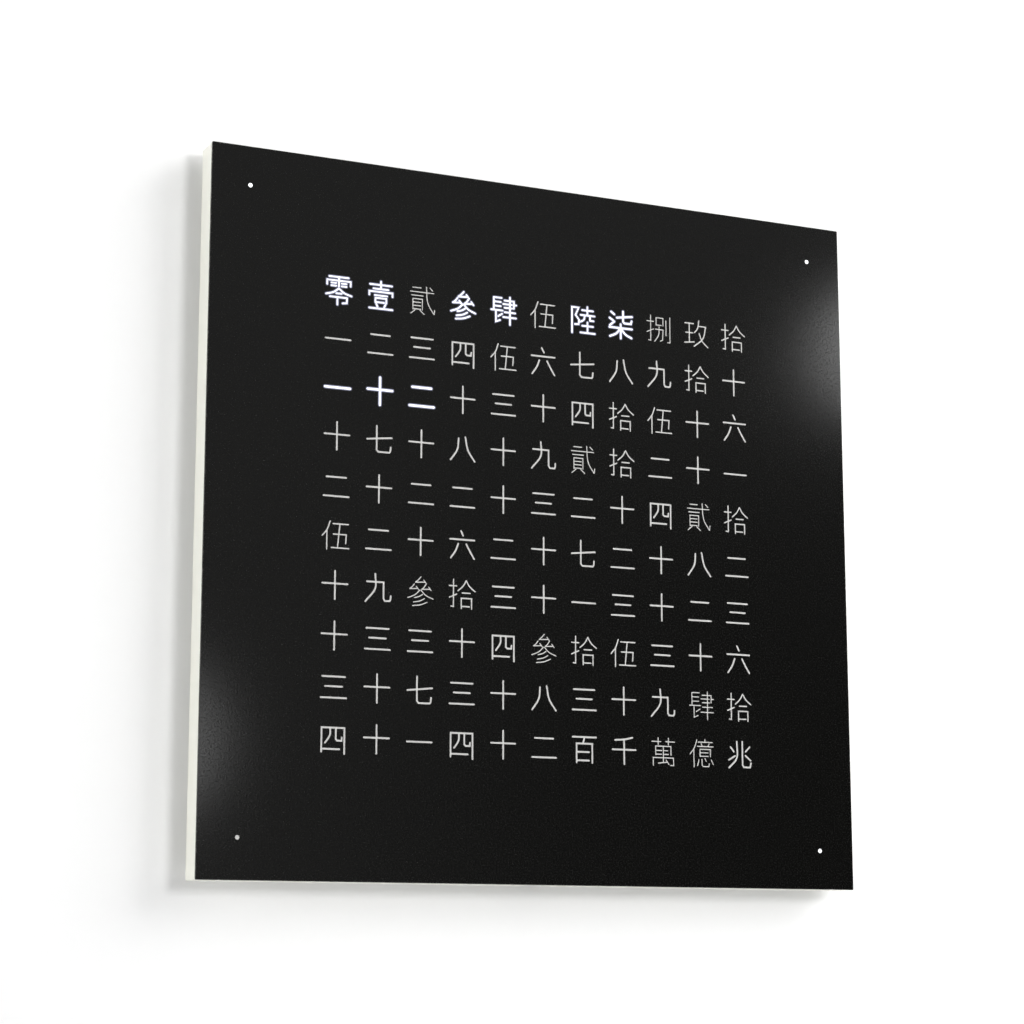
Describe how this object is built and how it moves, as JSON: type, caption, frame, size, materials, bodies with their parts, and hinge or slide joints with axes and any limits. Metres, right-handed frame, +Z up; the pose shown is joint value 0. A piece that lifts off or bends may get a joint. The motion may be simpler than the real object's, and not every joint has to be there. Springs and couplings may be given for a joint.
{
  "type": "word clock",
  "caption": "Square wall clock: a black steel cover over a grid of light wells in a lacquered casing, with a rear control bay, press buttons and keyhole hangers.",
  "frame": {"origin": "centre of the back face, which lies flat on the wall", "axes": "+X to the right as the face is seen, +Y into the wall, +Z up"},
  "size_m": [0.45, 0.02, 0.45],
  "materials": {
    "lacquered_casing": "satin cream lacquer on milled fibreboard",
    "black_steel": "fine-textured satin black powder coat",
    "opal_plastic": "translucent opal",
    "bright_steel": "zinc plated",
    "plated_magnet": "nickel plated",
    "board_white": "white solder mask",
    "light_package": "white package with clear resin",
    "grid_white": "moulded white plastic",
    "spacer_nylon": "natural nylon",
    "cable_grey": "flat lead",
    "zinc_steel": "zinc plated",
    "lid_plastic": "cream sheet, like the casing",
    "board_green": "green solder mask",
    "socket_black": "black moulding",
    "pin_brass": "plated pin",
    "cell_steel": "stainless can",
    "can_steel": "tinned can",
    "chip_black": "moulded package",
    "clear_acrylic": "polished clear acrylic",
    "connector_ivory": "ivory moulding",
    "ribbon_white": "flat cable",
    "button_cream": "cream moulding"
  },
  "bodies": {
    "casing_assembly": {"casing": "lacquered_casing", "cover_magnets": "plated_magnet", "light_board": "board_white", "light_sources": "light_package", "light_grid": "grid_white", "grid_screws": "bright_steel", "board_spacers": "spacer_nylon", "minute_boards": "board_white", "minute_lights": "light_package", "minute_leads": "cable_grey", "left_keyhole_plate": "zinc_steel", "right_keyhole_plate": "zinc_steel", "keyhole_screws": "bright_steel", "service_lid": "lid_plastic", "lid_screws": "bright_steel", "control_board": "board_green", "control_spacers": "spacer_nylon", "control_screws": "bright_steel", "power_socket": "socket_black", "socket_pin": "pin_brass", "coin_cell_holder": "socket_black", "coin_cell": "cell_steel", "radio_module": "can_steel", "controller_chip": "chip_black", "light_sensor": "chip_black", "light_pipe": "clear_acrylic", "setting_switches": "socket_black", "ribbon_connectors": "connector_ivory", "ribbon_cable": "ribbon_white"},
    "cover": {"face_plate": "black_steel", "diffuser_sheet": "opal_plastic", "minute_dot_plugs": "opal_plastic", "cover_studs": "bright_steel"},
    "mode_button": {"mode_button": "button_cream"},
    "plus_button": {"plus_button": "button_cream"},
    "minus_button": {"minus_button": "button_cream"}
  },
  "joints": [
    {"name": "cover_pull", "type": "slide", "parent": "casing_assembly", "child": "cover", "axis": [0, -1, 0], "range_m": [0, 0.12]},
    {"name": "mode_button_press", "type": "slide", "parent": "casing_assembly", "child": "mode_button", "axis": [0, 0, 1], "range_m": [0, 0.0006], "stiffness_N_per_m": 600, "springref_m": -0.0005},
    {"name": "plus_button_press", "type": "slide", "parent": "casing_assembly", "child": "plus_button", "axis": [0, 0, 1], "range_m": [0, 0.0006], "stiffness_N_per_m": 600, "springref_m": -0.0005},
    {"name": "minus_button_press", "type": "slide", "parent": "casing_assembly", "child": "minus_button", "axis": [0, 0, 1], "range_m": [0, 0.0006], "stiffness_N_per_m": 600, "springref_m": -0.0005}
  ]
}
